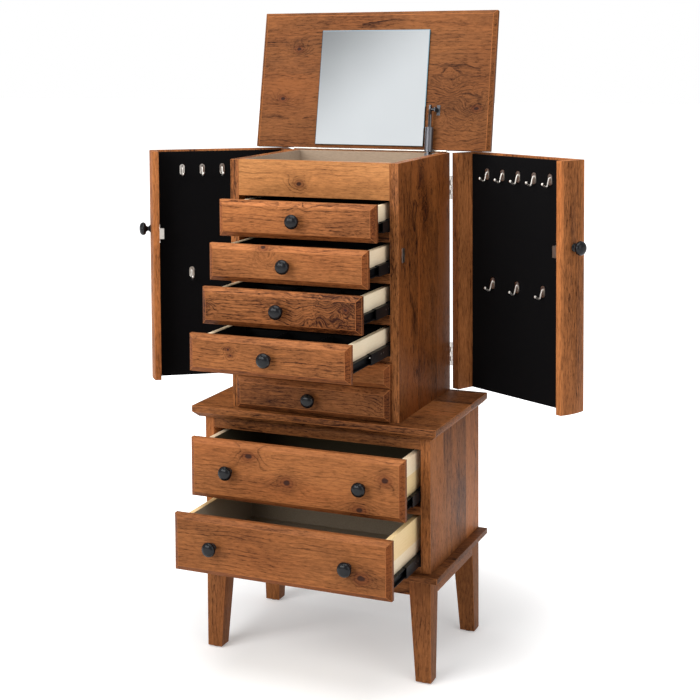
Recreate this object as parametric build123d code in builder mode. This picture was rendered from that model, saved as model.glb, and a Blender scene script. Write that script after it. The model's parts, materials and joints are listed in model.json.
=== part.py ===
# Free-standing jewellery armoire: a two-drawer base chest on tapered legs carries a narrower
# six-drawer cabinet with a flip-up mirror lid and two swing-out doors for necklaces.
# Millimetres.  +Z up, the front faces -Y, +X is on the right seen from the front.
# The origin is on the floor, midway between the sides and midway through the cabinet's depth.
# Every moving piece is drawn where it rests: drawers part way out, doors and lid open.
from build123d import *
from math import cos, hypot, radians, sin
import os

# ---------------------------------------------------------------- driving dimensions
cabinet_width = 400.0        # outside of the upper cabinet's two sides
cabinet_depth = 345.0        # front edge of the sides to the back
cabinet_height = 560.0
cabinet_side_t = 20.0
back_t = 12.0                # both back panels

chest_width = 540.0          # base chest, outside
chest_side_t = 22.0
chest_height = 296.0         # from the plate under it to the top board

top_width = 582.0            # board between the chest and the cabinet
top_t = 26.0
top_front_overhang = 27.0
top_bevel = 12.0             # under-bevel on the front and both ends

plate_t = 13.0               # board between the chest and the legs
plate_front_overhang = 21.0
plate_edge_round = 1.5

leg_height = 227.0
leg_top_size = 48.0
leg_foot_size = 35.0
apron_height = 40.0
apron_t = 20.0
apron_recess = 4.5           # front and back aprons stand in from the legs
glide_radius = 12.0
glide_t = 3.0

# drawer fronts from the top down: name and share of the height that the gaps leave for the fronts
cabinet_fronts = (("drawer_1", 80.0), ("drawer_2", 80.0), ("drawer_3", 80.0), ("drawer_4", 80.0),
                  ("drawer_5", 52.0), ("drawer_6", 71.0))
cabinet_front_gaps = (9.5, 9.5, 9.5, 3.0, 2.0)     # between one front and the next
cabinet_lowest_gap = 3.0     # under the lowest front
chest_fronts = (("base_drawer_1", 131.5), ("base_drawer_2", 125.0))
chest_front_gaps = (15.5,)
chest_lowest_gap = 1.5
chest_highest_gap = 22.5     # from the highest front to the top board
front_t = 19.0
front_bevel_w = 11.0
front_bevel_d = 8.0
front_overlay = 3.0          # of a front over each side's edge
front_clear = 0.5            # between a closed front and the case
front_lap = 12.0             # of a front over the rail below it
rail_reveal = 0.5            # between a front's top edge and the rail above
rail_depth = 40.0
pulled_out = {"drawer_1": 76.0, "drawer_2": 125.0, "drawer_3": 159.5, "drawer_4": 219.5,
              "drawer_5": 0.0, "drawer_6": 0.0, "base_drawer_1": 92.5, "base_drawer_2": 171.5}

false_front_height = 80.0    # fixed panel that closes the lidded top compartment
cabinet_floor_t = 13.0
tray_floor_t = 6.0
lining_t = 3.0
lining_drop = 1.0            # lining's edge below the cabinet's rim

chest_top_rail_h = 26.5
chest_rail_lap = 1.5         # of the upper front over the rail below it
chest_floor_t = 13.0

box_side_t = 11.0            # drawer box boards
box_bottom_t = 5.0
box_bottom_inset = 4.0       # bottom board above the sides' lower edges
box_back_gap = 11.0          # behind a closed box
box_length = cabinet_depth - back_t - box_back_gap
box_lift = 14.0              # box above its front's lower edge
box_drop = 9.0               # box below the top of its opening
divider_t = 4.0
divider_height = 0.62        # of the box's inside depth
divider_back = 0.62          # crosswise divider, of the box's length from the front

slide_clear = 13.0           # between a drawer box and the case side
slide_length = box_length - 22.0
slide_height = 27.0
slide_wall = 1.2
slide_gap = 0.6              # running gap between nested members, up and down
slide_lift = 1.0             # slide below the box's lower edge
slide_setback = 2.0          # slide behind the case's front edge

knob_radius = 16.0
knob_neck_radius = 5.5
knob_flange_radius = 9.0
knob_height = 27.0
chest_knob_offset = 156.0    # from the centre line

lid_width = 598.0
lid_t = 19.0
lid_gap = 1.5                # under the closed lid
lid_bevel_w = 9.0
lid_bevel_d = 6.0
lid_open = 101.1             # degrees from closed
mirror_width = 277.0
mirror_height = 280.0
mirror_t = 5.0
mirror_bevel = 1.5           # ground edge
mirror_from_edge = 6.0       # from the lid's rear edge

lid_hinge_length = 390.0
lid_hinge_radius = 3.0
lid_hinge_leaf_t = 1.2
lid_hinge_leaf_w = 8.0
lid_hinge_knuckles = 13
knuckle_gap = 0.4
hinge_pin_clear = 0.05

stay_x = 155.0               # centre plane of the stay
stay_bracket_x = 166.0
stay_pin_up_lid = 96.0       # lid stud from the hinge axis, along the lid
stay_pin_off_lid = 17.5      # lid stud from the hinge axis, square to the lid
stay_foot_forward = 15.5     # foot pivot in front of the hinge axis
stay_foot_down = 11.0        # foot pivot below the hinge axis
stay_cylinder_radius = 9.5
stay_eye = 9.7               # foot pivot to the cylinder's lower end
stay_end_gap = 0.8           # blade to the cylinder's end with the lid shut
stay_rod_radius = 4.0
stay_blade_below = 12.5      # lid stud to the blade's lower end
stay_blade_above = 11.0
stay_blade_w = 11.0
stay_blade_t = 4.0
stay_stud_gap = 0.4
stay_stud_radius = 3.5

door_angle = {"right": 61.4, "left": 55.5}       # degrees open
door_reach = 347.0           # rear edge to front face
door_depth = 73.0            # inner edges of the stiles to the panel's outer face
door_stile_t = 19.0
door_stile_bow = 5.0         # rise of the front stile's curved face
door_panel_t = 19.0
door_lining_t = 8.0
door_lining_drop = 4.0       # lining's top edge below the panel's
door_side_gap = 3.0          # closed door to the cabinet's side
door_bottom_gap = 2.0
door_top_gap = 1.0
door_hinge_radius = 3.0
door_hinge_leaf_t = 1.25
door_hinge_leaf_w = 17.0     # from the knuckle's middle to the leaf's far edge
door_hinge_leaf_gap = 3.0    # from the knuckle's middle to the leaf beside the other leaf's knuckles
door_hinge_height = 55.0
door_hinge_knuckles = 5
door_hinge_inset = 54.0      # hinge's near end from the door's top or bottom edge

hook_plate_w = 12.0
hook_plate_h = 26.0
hook_plate_t = 1.6
hook_reach = 24.0            # plate's face to the tip's centre
hook_wire = 3.6
hook_drop = 31.0             # plate's top to the lowest point
hook_tip_drop = 22.0         # plate's top to the tip
hook_upper_pitch = 49.2
hook_upper_first = 70.0      # from the door's rear edge
hook_upper_top = 35.0        # plate's top below the door's top edge
hook_lower_at = (88.0, 166.0, 246.0)
hook_lower_top = 288.0

catch_u, catch_h, catch_t = 11.0, 26.0, 12.0     # magnet body: along, up, deep
catch_ear = 9.0
catch_ear_t = 1.5
catch_height = 358.0         # centre above the door's lower edge
strike_w, strike_h, strike_t = 14.0, 31.0, 1.5
knob_height_on_door = 367.0

# ---------------------------------------------------------------- worked-out places
front_y = -cabinet_depth / 2
back_y = cabinet_depth / 2
panel_y = back_y - back_t                       # inner face of the back panels
leg_base = glide_t
plate_bottom = leg_base + leg_height
plate_top = plate_bottom + plate_t
chest_top = plate_top + chest_height
floor_z = chest_top + top_t                     # underside of the cabinet
rim_z = floor_z + cabinet_height
cabinet_inner = cabinet_width / 2 - cabinet_side_t
chest_inner = chest_width / 2 - chest_side_t
false_front_z = rim_z - false_front_height
cabinet_first_top = false_front_z - rail_reveal
chest_first_top = chest_top - chest_highest_gap


def stack(fronts, gaps, first_top, lowest):
    """(name, height, top) of each front, from the first top down to the lowest edge."""
    room = first_top - lowest - sum(gaps)
    unit = room / sum(share for _, share in fronts)
    placed, top = [], first_top
    for (name, share), gap in zip(fronts, (*gaps, 0.0)):
        placed.append((name, share * unit, top))
        top -= share * unit + gap
    return placed


cabinet_stack = stack(cabinet_fronts, cabinet_front_gaps, cabinet_first_top, floor_z + cabinet_lowest_gap)
chest_stack = stack(chest_fronts, chest_front_gaps, chest_first_top, plate_top + chest_lowest_gap)

os.makedirs("parts", exist_ok=True)


def save(builder, name):
    builder.part.label = name
    export_step(builder.part, f"parts/{name}.step")


def board(x0, x1, y0, y1, z0, z1):
    """One flat board between three pairs of limits, added to the open part."""
    with Locations(((x0 + x1) / 2, (y0 + y1) / 2, (z0 + z1) / 2)):
        Box(abs(x1 - x0), abs(y1 - y0), abs(z1 - z0))


# ---------------------------------------------------------------- stand
# Four legs, square above the aprons' lower edge and tapered below it on the two inner faces.
with BuildPart() as legs:
    for sx in (-1, 1):
        for sy in (-1, 1):
            corner_x, corner_y = sx * chest_width / 2, sy * back_y
            for size, height in ((leg_foot_size, leg_base), (leg_top_size, plate_bottom - apron_height)):
                with BuildSketch(Plane.XY.offset(height)):
                    with Locations((corner_x - sx * size / 2, corner_y - sy * size / 2)):
                        Rectangle(size, size)
            loft()
            board(corner_x - sx * leg_top_size, corner_x, corner_y - sy * leg_top_size, corner_y,
                  plate_bottom - apron_height, plate_bottom)
save(legs, "legs")

with BuildPart() as glides:
    foot_x, foot_y = chest_width / 2 - leg_foot_size / 2, back_y - leg_foot_size / 2
    with BuildSketch(Plane.XY):
        with GridLocations(2 * foot_x, 2 * foot_y, 2, 2):
            Circle(glide_radius)
    extrude(amount=glide_t)
save(glides, "glides")

with BuildPart() as aprons:
    reach_x = chest_width / 2 - leg_top_size
    reach_y = back_y - leg_top_size
    for s in (-1, 1):
        board(-reach_x, reach_x, s * (back_y - apron_recess), s * (back_y - apron_recess - apron_t),
              plate_bottom - apron_height, plate_bottom)
        board(s * chest_width / 2, s * (chest_width / 2 - apron_t), -reach_y, reach_y,
              plate_bottom - apron_height, plate_bottom)
save(aprons, "aprons")

with BuildPart() as base_plate:
    board(-top_width / 2, top_width / 2, front_y - plate_front_overhang, back_y, plate_bottom, plate_top)
    fillet(base_plate.faces().sort_by(Axis.Z)[-1].edges(), plate_edge_round)
save(base_plate, "base_plate")

# ---------------------------------------------------------------- base chest
with BuildPart() as base_sides:
    for s in (-1, 1):
        board(s * chest_inner, s * chest_width / 2, front_y, back_y, plate_top, chest_top)
save(base_sides, "base_sides")

# Top rail, rail between the two drawers and the floor, whose front edge is the bottom rail.
(_, upper_height, upper_top), (_, _, lower_top) = chest_stack
with BuildPart() as base_frame:
    board(-chest_inner, chest_inner, front_y, front_y + front_t, chest_top - chest_top_rail_h, chest_top)
    board(-chest_inner, chest_inner, front_y, front_y + rail_depth,
          lower_top + rail_reveal, upper_top - upper_height + chest_rail_lap)
    board(-chest_inner, chest_inner, front_y, panel_y, plate_top, plate_top + chest_floor_t)
save(base_frame, "base_frame")

# Board between chest and cabinet, bevelled underneath on the front and the ends.
with BuildPart() as base_top:
    board(-top_width / 2, top_width / 2, front_y - top_front_overhang, back_y, chest_top, floor_z)
    lower = base_top.faces().sort_by(Axis.Z)[0].edges()
    chamfer(lower.sort_by(Axis.Y)[:-1], top_bevel)
save(base_top, "base_top")

# ---------------------------------------------------------------- upper cabinet
with BuildPart() as cabinet_sides:
    for s in (-1, 1):
        board(s * cabinet_inner, s * cabinet_width / 2, front_y, back_y, floor_z, rim_z)
save(cabinet_sides, "cabinet_sides")

with BuildPart() as back_panels:
    board(-cabinet_inner, cabinet_inner, panel_y, back_y, floor_z, rim_z)
    board(-chest_inner, chest_inner, panel_y, back_y, plate_top, chest_top)
save(back_panels, "back_panels")

with BuildPart() as false_front:
    board(-cabinet_inner, cabinet_inner, front_y, front_y + cabinet_side_t, false_front_z, rim_z)
save(false_front, "false_front")

# A rail fills each space between two drawer openings; the floor and the tray's floor close the stack.
with BuildPart() as cabinet_rails:
    for (_, height, top), (_, _, next_top) in zip(cabinet_stack, cabinet_stack[1:]):
        board(-cabinet_inner, cabinet_inner, front_y, front_y + rail_depth,
              next_top + rail_reveal, top - height + front_lap)
    board(-cabinet_inner, cabinet_inner, front_y, panel_y, floor_z, floor_z + cabinet_floor_t)
    board(-cabinet_inner, cabinet_inner, front_y + cabinet_side_t, panel_y,
          false_front_z, false_front_z + tray_floor_t)
save(cabinet_rails, "cabinet_rails")

# Lining of the lidded compartment: a floor pad and four wall boards covered in fabric.
with BuildPart() as tray_lining:
    tray_z = false_front_z + tray_floor_t
    y0, y1 = front_y + cabinet_side_t, panel_y
    board(-cabinet_inner, cabinet_inner, y0, y1, tray_z, tray_z + lining_t)
    for s in (-1, 1):
        board(s * cabinet_inner, s * (cabinet_inner - lining_t), y0, y1,
              tray_z + lining_t, rim_z - lining_drop)
    inner_x = cabinet_inner - lining_t
    board(-inner_x, inner_x, y0, y0 + lining_t, tray_z + lining_t, rim_z - lining_drop)
    board(-inner_x, inner_x, y1 - lining_t, y1, tray_z + lining_t, rim_z - lining_drop)
save(tray_lining, "tray_lining")


# ---------------------------------------------------------------- drawers and their slides
# Each side-mount slide has three nested steel channels: one on the case, one on the drawer box
# and one between them that travels half as far as the drawer.
slide_back = front_y + slide_setback + slide_length
case_z = slide_height / 2
middle_z = case_z - slide_wall - slide_gap
runner_z = middle_z - slide_wall - slide_gap


def channel(case_x, side, z, half_height, web_out, web_in, mouth, back):
    """A channel along Y whose web lies between two distances from the case side."""
    x_web0, x_web1 = case_x - side * web_out, case_x - side * web_in
    x_mouth = case_x - side * mouth
    y0, y1 = back - slide_length, back
    board(x_web0, x_web1, y0, y1, z - half_height, z + half_height)
    for s in (-1, 1):
        board(x_web1, x_mouth, y0, y1, z + s * half_height, z + s * (half_height - slide_wall))


def knob(plane):
    """Turned mushroom knob: flange, waisted neck and domed head, standing out of the plane."""
    with BuildSketch(Plane(plane.origin, x_dir=plane.x_dir, z_dir=-plane.y_dir)) as profile:
        with BuildLine():
            flange = Line((0, 0), (knob_flange_radius, 0))
            rim = Line(flange @ 1, (knob_flange_radius, 2))
            waist = (knob_neck_radius, knob_height * 0.22)
            neck = ThreePointArc(rim @ 1, waist, (knob_radius * 0.5, knob_height * 0.4))
            belly = (knob_radius, knob_height * 0.66)
            under = ThreePointArc(neck @ 1, (knob_radius * 0.84, knob_height * 0.47), belly)
            shoulder_end = (knob_radius * 0.25, knob_height)
            shoulder = ThreePointArc(under @ 1, (knob_radius * 0.78, knob_height * 0.9), shoulder_end)
            crown = Line(shoulder @ 1, (0, knob_height))
            Line(crown @ 1, (0, 0))
        make_face()
    revolve(profile.sketch, axis=Axis(plane.origin, plane.z_dir))


def drawer(name, front_height, top, opening_top, inner, knobs, dividers=False):
    pull = pulled_out[name]
    bottom = top - front_height
    face_y = front_y - front_clear - pull           # back face of the front
    half = inner + front_overlay

    with BuildPart() as front:
        board(-half, half, face_y - front_t, face_y, bottom, top)
        face = front.faces().sort_by(Axis.Y)[0]
        chamfer(face.edges(), front_bevel_w, front_bevel_d, reference=face)
    save(front, f"{name}_front")

    outer = inner - slide_clear
    z0, z1 = bottom + box_lift, opening_top - box_drop
    inside = outer - box_side_t
    y0, y1 = face_y + box_side_t, face_y + box_length - box_side_t
    deck_z = z0 + box_bottom_inset + box_bottom_t
    divider_top = deck_z + divider_height * (z1 - deck_z)
    cross_y = face_y + divider_back * box_length
    with BuildPart() as box:
        for s in (-1, 1):
            board(s * inside, s * outer, face_y, face_y + box_length, z0, z1)
        for y in (face_y, face_y + box_length - box_side_t):
            board(-inside, inside, y, y + box_side_t, z0, z1)
        board(-inside, inside, y0, y1, z0 + box_bottom_inset, deck_z)
        if dividers:
            board(-inside, inside, cross_y, cross_y + divider_t, deck_z, divider_top)
            for x in (-inside / 3, inside / 3):
                board(x - divider_t / 2, x + divider_t / 2, y0, cross_y, deck_z, divider_top)
    save(box, f"{name}_box")

    slide_z = z0 - slide_lift + slide_height / 2
    with BuildPart() as fittings:
        for s in (-1, 1):
            channel(s * inner, s, slide_z, runner_z, slide_clear, slide_clear - slide_wall,
                    2 * (slide_wall + slide_gap) + slide_wall, slide_back - pull)
        for x in knobs:
            knob(Plane((x, face_y - front_t, (top + bottom) / 2), x_dir=(1, 0, 0), z_dir=(0, -1, 0)))
    save(fittings, f"{name}_knob_and_runners")

    with BuildPart() as middle:
        for s in (-1, 1):
            channel(s * inner, s, slide_z, middle_z, slide_wall + slide_gap, 2 * slide_wall + slide_gap,
                    slide_clear - slide_wall - slide_gap, slide_back - pull / 2)
    save(middle, f"{name}_slide_middles")
    return inner, slide_z


slides = []
for name, height, top in cabinet_stack:
    slides.append(drawer(name, height, top, top + rail_reveal, cabinet_inner, (0,), dividers=True))
for name, height, top in chest_stack:
    opening = min(top + rail_reveal, chest_top - chest_top_rail_h)
    slides.append(drawer(name, height, top, opening, chest_inner, (-chest_knob_offset, chest_knob_offset)))

with BuildPart() as slide_case_members:
    for inner, slide_z in slides:
        for s in (-1, 1):
            channel(s * inner, s, slide_z, case_z, 0, slide_wall, slide_clear - 2 * slide_wall, slide_back)
save(slide_case_members, "slide_case_members")


# ---------------------------------------------------------------- lid, mirror and lid hinge
# The lid's own plane: X along the hinge, Y from the hinge axis to the free edge, Z off the mirrored face.
def rod(plane, radius, start, end, bore=0.0):
    """Round bar or tube along the plane's normal."""
    with BuildSketch(plane.offset(start)) as section:
        Circle(radius)
        if bore:
            Circle(bore, mode=Mode.SUBTRACT)
    extrude(section.sketch, amount=end - start, dir=plane.z_dir)


lid_angle = radians(lid_open)
hinge_y = panel_y + 3.0
hinge_z = rim_z + lid_hinge_radius
lid_plane = Plane((0, hinge_y, hinge_z), x_dir=(1, 0, 0), z_dir=(0, -sin(lid_angle), -cos(lid_angle)))
lid_edge = lid_hinge_radius                     # rear edge of the lid from the hinge axis
lid_face = lid_hinge_radius - lid_gap           # mirrored face from the hinge axis
lid_reach = hinge_y - front_y
knuckle_radius = lid_hinge_radius - 0.3

with BuildPart(lid_plane) as lid_board:
    board(-lid_width / 2, lid_width / 2, lid_edge, lid_reach, lid_face - lid_t, lid_face)
    face = lid_board.faces().sort_by(Axis((0, 0, 0), lid_plane.z_dir))[-1]
    bevelled = face.edges().sort_by(Axis((0, 0, 0), lid_plane.y_dir))[1:]
    chamfer(bevelled, lid_bevel_w, lid_bevel_d, reference=face)
save(lid_board, "lid_board")

with BuildPart(lid_plane) as lid_mirror:
    y0 = lid_edge + mirror_from_edge
    board(-mirror_width / 2, mirror_width / 2, y0, y0 + mirror_height, lid_face, lid_face + mirror_t)
    face = lid_mirror.faces().sort_by(Axis((0, 0, 0), lid_plane.z_dir))[-1]
    chamfer(face.edges(), mirror_bevel, 1.0, reference=face)
save(lid_mirror, "lid_mirror")

hinge_line = Plane((0, hinge_y, hinge_z), x_dir=(0, 1, 0), z_dir=(1, 0, 0))
pitch = lid_hinge_length / lid_hinge_knuckles
bore = lid_hinge_radius * 0.42
pin = bore - hinge_pin_clear
knuckle_spans = []
for i in range(lid_hinge_knuckles):
    x0 = -lid_hinge_length / 2 + i * pitch
    knuckle_spans.append((x0 + knuckle_gap / 2, x0 + pitch - knuckle_gap / 2))
case_spans, lid_spans = knuckle_spans[0::2], knuckle_spans[1::2]

# The lid's leaf stands on the lid's rear edge; the bracket carries the stud the stay turns on.
stud = (stay_pin_up_lid, stay_pin_off_lid)
with BuildPart(lid_plane) as lid_fittings:
    tip = lid_edge + lid_hinge_leaf_w + 3
    board(-lid_hinge_length / 2, lid_hinge_length / 2, lid_edge - lid_hinge_leaf_t, lid_edge, -tip, -lid_edge)
    for x0, x1 in lid_spans:
        board(x0, x1, lid_edge - lid_hinge_leaf_t, lid_edge, -lid_edge, 0)
        rod(hinge_line, knuckle_radius, x0, x1, bore)
    x0 = stay_bracket_x
    board(x0, x0 + 8, stud[0] - 12, stud[0] + 12, lid_face, lid_face + 1.5)
    board(x0, x0 + 2, stud[0] - 5, stud[0] + 5, lid_face + 1.5, stud[1] + 5)
    stud_line = Plane(lid_plane.from_local_coords(Vector(0, *stud)), x_dir=(0, 1, 0), z_dir=(1, 0, 0))
    rod(stud_line, stay_stud_radius, stay_x + stay_blade_t / 2 + stay_stud_gap, x0)
save(lid_fittings, "lid_fittings")

# ---------------------------------------------------------------- lid stay
# A gas spring: the cylinder turns on a foot inside the compartment, its rod's blade on the lid's stud.
foot = Vector(stay_x, hinge_y - stay_foot_forward, hinge_z - stay_foot_down)
stud_place = lid_plane.from_local_coords(Vector(stay_x, *stud))
stay_dir = (stud_place - foot).normalized()
stay_open_length = (stud_place - foot).length
stay_shut_length = hypot(stay_pin_up_lid - stay_foot_forward, stay_pin_off_lid - stay_foot_down)
stay_line = Plane(foot, x_dir=(1, 0, 0), z_dir=(0, stay_dir.Y, stay_dir.Z))
foot_line = Plane(foot, x_dir=(0, 1, 0), z_dir=(1, 0, 0))
cylinder_end = stay_shut_length - stay_blade_below - stay_end_gap

with BuildPart(stay_line) as stay_cylinder:
    rod(stay_line, stay_cylinder_radius, stay_eye, cylinder_end)
    board(-stay_blade_t / 2, stay_blade_t / 2, -5.5, 5.5, 0, stay_eye)
    rod(foot_line, 5.5, -stay_blade_t / 2, stay_blade_t / 2)
    with BuildSketch(stay_line.offset(cylinder_end)):
        Circle(stay_rod_radius + hinge_pin_clear)
    extrude(amount=stay_eye + 6 - cylinder_end, mode=Mode.SUBTRACT)
    with BuildSketch(foot_line):
        Circle(2.5 + hinge_pin_clear)
    extrude(amount=stay_blade_t, both=True, mode=Mode.SUBTRACT)
save(stay_cylinder, "stay_cylinder")

with BuildPart(stay_line) as stay_rod:
    blade_low = stay_open_length - stay_blade_below
    rod(stay_line, stay_rod_radius, stay_open_length - stay_shut_length + stay_eye + 8, blade_low)
    board(-stay_blade_t / 2, stay_blade_t / 2, -stay_blade_w / 2, stay_blade_w / 2,
          blade_low, stay_open_length + stay_blade_above)
    tips = stay_rod.edges().filter_by(Axis.X).sort_by(Axis((0, 0, 0), stay_line.z_dir))[-2:]
    fillet(tips, stay_blade_w / 2 - 0.5)
save(stay_rod, "stay_rod")

# Foot: a plate on the compartment's back wall and two ears with the pin through them.
with BuildPart() as stay_foot:
    wall_y = panel_y - lining_t
    board(stay_x - 12, stay_x + 12, wall_y - 2, wall_y, foot.Z - 12, rim_z - lining_drop - 1)
    for s in (-1, 1):
        x0 = stay_x + s * (stay_blade_t / 2 + stay_stud_gap)
        board(x0, x0 + s * 2, foot.Y - 4, wall_y - 2, foot.Z - 4, foot.Z + 4)
    rod(foot_line, 2.5, -stay_blade_t / 2 - stay_stud_gap - 2, stay_blade_t / 2 + stay_stud_gap + 2)
save(stay_foot, "stay_foot")


# ---------------------------------------------------------------- doors
# A door's own plane starts at its lower rear inner corner: X toward the front stile, Y across
# the cabinet side (outward when closed, its sign is the door's side), Z up.
door_height = rim_z - door_top_gap - floor_z - door_bottom_gap
door_bottom = floor_z + door_bottom_gap
axis_x = cabinet_width / 2 + door_side_gap / 2
axis_y = back_y + 3.5
hinge_back, hinge_in = 3.5, door_side_gap / 2     # hinge axis from the door's rear inner corner
knuckle_pitch = door_hinge_height / door_hinge_knuckles
door_hinges = (door_hinge_inset, door_height - door_hinge_inset - door_hinge_height)
door_spans, fixed_spans = [], []
for low in door_hinges:
    for i in range(door_hinge_knuckles):
        z0 = low + i * knuckle_pitch
        span = (z0 + knuckle_gap / 2, z0 + knuckle_pitch - knuckle_gap / 2)
        (fixed_spans if i % 2 == 0 else door_spans).append(span)


def hook(plane, u, top, side):
    """Plate on the lining and a bent wire hook that ends in a ball."""
    face = door_depth - door_panel_t - door_lining_t
    middle = plane.from_local_coords(Vector(u, side * face, top - hook_plate_h / 2))
    with BuildSketch(Plane(middle, x_dir=plane.x_dir, z_dir=plane.y_dir * -side)) as plate:
        SlotOverall(hook_plate_h, hook_plate_w, rotation=90)
    extrude(plate.sketch, amount=hook_plate_t)
    wall = face - hook_plate_t
    points = [(wall, top - 8), (wall - 5, top - 15), (wall - 11, top - hook_drop + hook_wire / 2),
              (wall - hook_reach + 4, top - hook_drop + 6), (wall - hook_reach, top - hook_tip_drop)]
    with BuildLine(plane) as wire:
        Spline([(u, side * v, w) for v, w in points])
    path = wire.line
    with BuildSketch(Plane(path @ 0, z_dir=path % 0)) as section:
        Circle(hook_wire / 2)
    sweep(section.sketch, path=path)
    with Locations((u, side * (wall - hook_reach), top - hook_tip_drop)):
        Sphere(hook_wire * 0.95)


for side, word in ((1, "right"), (-1, "left")):
    angle = radians(door_angle[word])
    along = Vector(side * sin(angle), -cos(angle), 0)
    outward = Vector(side * cos(angle), sin(angle), 0)
    corner = Vector(side * axis_x, axis_y, door_bottom) + along * hinge_back + outward * hinge_in
    plane = Plane(corner, x_dir=along, z_dir=(0, 0, 1))
    hinge_axis = Plane((side * axis_x, axis_y, door_bottom), x_dir=along, z_dir=(0, 0, 1))
    knob_place = corner + along * (door_reach - 0.3) + outward * (door_depth / 2)
    knob_place = knob_place + Vector(0, 0, knob_height_on_door)

    # Rear stile, flat panel and front stile with its bowed edge.
    with BuildPart(plane) as door_frame:
        board(0, door_stile_t, 0, side * door_depth, 0, door_height)
        board(0, door_reach - door_stile_t, side * (door_depth - door_panel_t), side * door_depth,
              0, door_height)
        flat = door_reach - door_stile_bow
        with BuildSketch(plane):
            with BuildLine():
                Polyline((flat, 0), (door_reach - door_stile_t, 0),
                         (door_reach - door_stile_t, side * door_depth), (flat, side * door_depth))
                ThreePointArc((flat, 0), (door_reach, side * door_depth / 2), (flat, side * door_depth))
            make_face()
        extrude(amount=door_height)
        with BuildSketch(Plane(knob_place, x_dir=(0, 0, 1), z_dir=along)):
            Circle(knob_flange_radius + 0.4)
        extrude(amount=4, mode=Mode.SUBTRACT)
    save(door_frame, f"{word}_door_frame")

    with BuildPart(plane) as door_lining:
        board(door_stile_t, door_reach - door_stile_t, side * (door_depth - door_panel_t),
              side * (door_depth - door_panel_t - door_lining_t), 0, door_height - door_lining_drop)
    save(door_lining, f"{word}_door_lining")

    with BuildPart(plane) as door_metalwork:
        for i in range(5):
            hook(plane, hook_upper_first + i * hook_upper_pitch, door_height - hook_upper_top, side)
        for u in hook_lower_at:
            hook(plane, u, door_height - hook_lower_top, side)
        leaf = door_hinge_leaf_gap - hinge_in
        for low in door_hinges:
            board(-door_hinge_leaf_t, 0, side * leaf, side * (door_hinge_leaf_w - hinge_in),
                  low, low + door_hinge_height)
        for z0, z1 in door_spans:
            board(-door_hinge_leaf_t, 0, side * -hinge_in, side * leaf, z0, z1)
            rod(hinge_axis, door_hinge_radius, z0, z1, bore)
        # Magnetic catch: a body and its screw plate on the front stile's inner face.
        u1 = door_reach - door_stile_t
        board(u1 - catch_u, u1, side * -1, side * (catch_t - 1),
              catch_height - catch_h / 2, catch_height + catch_h / 2)
        board(u1 - catch_ear_t, u1, side * 1, side * (catch_t - 1), catch_height - catch_h / 2 - catch_ear,
              catch_height + catch_h / 2 + catch_ear)
    save(door_metalwork, f"{word}_door_metalwork")

    with BuildPart() as door_knob:
        knob(Plane(knob_place, x_dir=(0, 0, 1), z_dir=along))
    save(door_knob, f"{word}_door_knob")

# ---------------------------------------------------------------- hardware fixed to the cabinet
# Case leaves and pins of the lid hinge and the four door hinges, and the two strike plates.
with BuildPart() as cabinet_hardware:
    leaf_y = hinge_y + lid_hinge_radius
    board(-lid_hinge_length / 2, lid_hinge_length / 2, leaf_y, back_y - 0.5, rim_z, rim_z + lid_hinge_leaf_t)
    for x0, x1 in case_spans:
        board(x0, x1, hinge_y, leaf_y, rim_z, rim_z + lid_hinge_leaf_t)
        rod(hinge_line, knuckle_radius, x0, x1)
    rod(hinge_line, pin, case_spans[0][0], case_spans[-1][1])
    for side in (-1, 1):
        x0, x1 = side * (axis_x - door_hinge_leaf_w), side * (axis_x - door_hinge_leaf_gap)
        y1 = back_y + door_hinge_leaf_t
        axis = Plane((side * axis_x, axis_y, door_bottom), x_dir=(1, 0, 0), z_dir=(0, 0, 1))
        for low in door_hinges:
            z0, z1 = door_bottom + low, door_bottom + low + door_hinge_height
            board(x0, x1, back_y, y1, z0, z1)
            rod(axis, pin, low + knuckle_gap / 2, low + door_hinge_height - knuckle_gap / 2)
        for z0, z1 in fixed_spans:
            board(x1, side * axis_x, back_y, y1, door_bottom + z0, door_bottom + z1)
            rod(axis, door_hinge_radius, z0, z1)
        strike_y = back_y - door_reach + door_stile_t + catch_u / 2 + 4
        strike_z = door_bottom + catch_height
        board(side * cabinet_width / 2, side * (cabinet_width / 2 + strike_t),
              strike_y - strike_w / 2, strike_y + strike_w / 2,
              strike_z - strike_h / 2, strike_z + strike_h / 2)
save(cabinet_hardware, "cabinet_hardware")
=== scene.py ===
import bpy, bmesh
import json
from math import cos, pi, radians, sin
from mathutils import Matrix, Vector

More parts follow.
